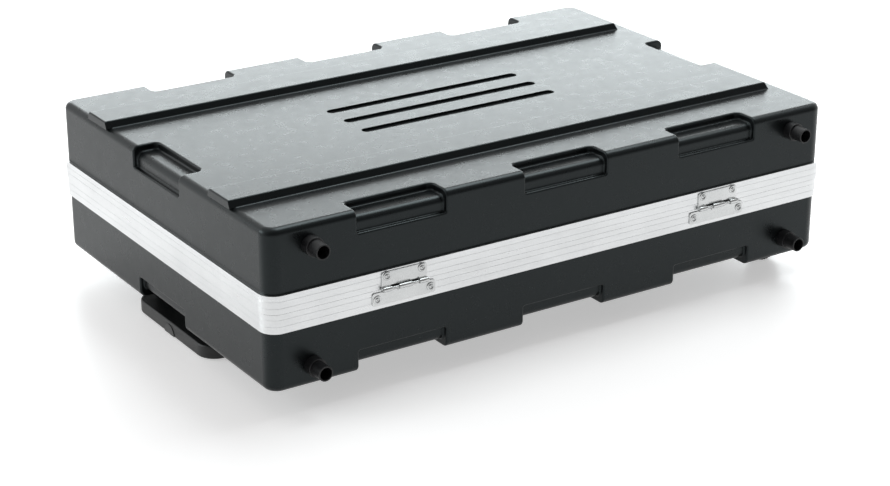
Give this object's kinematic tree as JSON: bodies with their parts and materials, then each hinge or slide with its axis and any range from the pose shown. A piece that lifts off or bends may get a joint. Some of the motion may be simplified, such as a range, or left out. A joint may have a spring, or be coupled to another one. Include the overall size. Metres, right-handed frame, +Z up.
{
  "type": "mixer flight case",
  "caption": "Moulded black mixer flight case with an aluminium valance band, hinged lid, draw latches, key lock, carry handle, pull-out tow handle, wheels and foam lining.",
  "frame": {"origin": "middle of the box around the closed case, on the surface it lies on", "axes": "+X towards the tow handle end, -Y towards the latches and carry handle, +Y towards the hinges, +Z up"},
  "size_m": [0.85, 0.609, 0.247],
  "materials": {
    "black_polyethylene": "black moulded polyethylene, satin with a fine grain",
    "aluminium_band": "natural anodised aluminium extrusion, satin",
    "grey_foam": "charcoal open-cell foam",
    "foot_rubber": "hard black rubber",
    "grip_rubber": "soft black rubber",
    "black_nylon": "black moulded nylon",
    "button_plastic": "dark grey moulded plastic",
    "tube_aluminium": "brushed aluminium tube",
    "wheel_tyre": "black polyurethane",
    "hub_plastic": "dark grey nylon",
    "black_screw": "black oxide steel",
    "lock_brass": "nickel washed brass",
    "bright_steel": "bright steel",
    "plated_steel": "zinc plated steel"
  },
  "bodies": {
    "base": {"base_shell": "black_polyethylene", "base_valance": "aluminium_band", "floor_foam": "grey_foam", "foam_wall_back": "grey_foam", "foam_wall_front": "grey_foam", "foam_wall_left": "grey_foam", "foam_wall_right": "grey_foam", "hinge_leaf_lower_left": "plated_steel", "hinge_leaf_lower_right": "plated_steel", "hinge_pin_left": "plated_steel", "hinge_pin_right": "plated_steel", "base_hinge_rivets": "plated_steel", "base_bumper_foot_left": "foot_rubber", "base_bumper_foot_right": "foot_rubber", "base_foot_screws": "black_screw", "latch_plate_left": "plated_steel", "latch_plate_right": "plated_steel", "latch_plate_rivets": "plated_steel", "latch_lever_pins": "plated_steel", "lock_body": "plated_steel", "handle_bracket_left": "plated_steel", "handle_bracket_right": "plated_steel", "handle_rivets": "plated_steel", "handle_pins": "plated_steel", "tow_handle_carrier": "black_nylon", "tube_clamp": "black_nylon", "outer_tubes": "tube_aluminium", "wheel_housing_back": "black_nylon", "wheel_housing_front": "black_nylon", "wheel_axles": "bright_steel"},
    "lid": {"lid_shell": "black_polyethylene", "lid_valance": "aluminium_band", "lid_foam": "grey_foam", "hinge_leaf_upper_left": "plated_steel", "hinge_leaf_upper_right": "plated_steel", "lid_hinge_rivets": "plated_steel", "lid_bumper_foot_left": "foot_rubber", "lid_bumper_foot_right": "foot_rubber", "lid_foot_screws": "black_screw", "latch_keeper_left": "plated_steel", "latch_keeper_right": "plated_steel", "lid_front_rivets": "plated_steel", "lock_hasp": "plated_steel"},
    "latch_lever_left": {"latch_lever_left": "plated_steel", "latch_bail_pin_left": "plated_steel"},
    "latch_bail_left": {"latch_bail_left": "plated_steel"},
    "latch_lever_right": {"latch_lever_right": "plated_steel", "latch_bail_pin_right": "plated_steel"},
    "latch_bail_right": {"latch_bail_right": "plated_steel"},
    "lock_cylinder": {"lock_cylinder": "lock_brass"},
    "carry_handle": {"carry_handle_bar": "plated_steel", "carry_handle_grip": "grip_rubber"},
    "tow_handle": {"inner_tubes": "tube_aluminium", "tow_grip": "black_nylon", "button_spring": "bright_steel"},
    "release_button": {"release_button": "button_plastic"},
    "wheel_back": {"wheel_hub_back": "hub_plastic", "wheel_tyre_back": "wheel_tyre"},
    "wheel_front": {"wheel_hub_front": "hub_plastic", "wheel_tyre_front": "wheel_tyre"}
  },
  "joints": [
    {"name": "lid_hinge", "type": "hinge", "parent": "base", "child": "lid", "pos_m": [0, 0.2815, 0.134], "axis": [-1, 0, 0], "range_deg": [0, 110]},
    {"name": "latch_lever_left_swing", "type": "hinge", "parent": "base", "child": "latch_lever_left", "pos_m": [0.24, -0.297, 0.116], "axis": [1, 0, 0], "range_deg": [0, 105]},
    {"name": "latch_bail_left_swing", "type": "hinge", "parent": "latch_lever_left", "child": "latch_bail_left", "pos_m": [0.24, -0.2967, 0.126], "axis": [1, 0, 0], "range_deg": [0, 60]},
    {"name": "latch_lever_right_swing", "type": "hinge", "parent": "base", "child": "latch_lever_right", "pos_m": [-0.24, -0.297, 0.116], "axis": [1, 0, 0], "range_deg": [0, 105]},
    {"name": "latch_bail_right_swing", "type": "hinge", "parent": "latch_lever_right", "child": "latch_bail_right", "pos_m": [-0.24, -0.2967, 0.126], "axis": [1, 0, 0], "range_deg": [0, 60]},
    {"name": "lock_turn", "type": "hinge", "parent": "base", "child": "lock_cylinder", "pos_m": [0, -0.303, 0.122], "axis": [0, -1, 0], "range_deg": [0, 90]},
    {"name": "carry_handle_swing", "type": "hinge", "parent": "base", "child": "carry_handle", "pos_m": [0, -0.297, 0.09], "axis": [-1, 0, 0], "range_deg": [0, 95]},
    {"name": "tow_handle_slide", "type": "slide", "parent": "base", "child": "tow_handle", "axis": [1, 0, 0], "range_m": [0, 0.38]},
    {"name": "release_button_press", "type": "slide", "parent": "tow_handle", "child": "release_button", "axis": [-1, 0, 0], "range_m": [0, 0.003], "stiffness_N_per_m": 400, "deforming": ["button_spring"]},
    {"name": "wheel_back_roll", "type": "hinge", "parent": "base", "child": "wheel_back", "pos_m": [-0.388, 0.206, 0.031], "axis": [0, 1, 0], "continuous": true},
    {"name": "wheel_front_roll", "type": "hinge", "parent": "base", "child": "wheel_front", "pos_m": [-0.388, -0.22, 0.031], "axis": [0, 1, 0], "continuous": true}
  ]
}
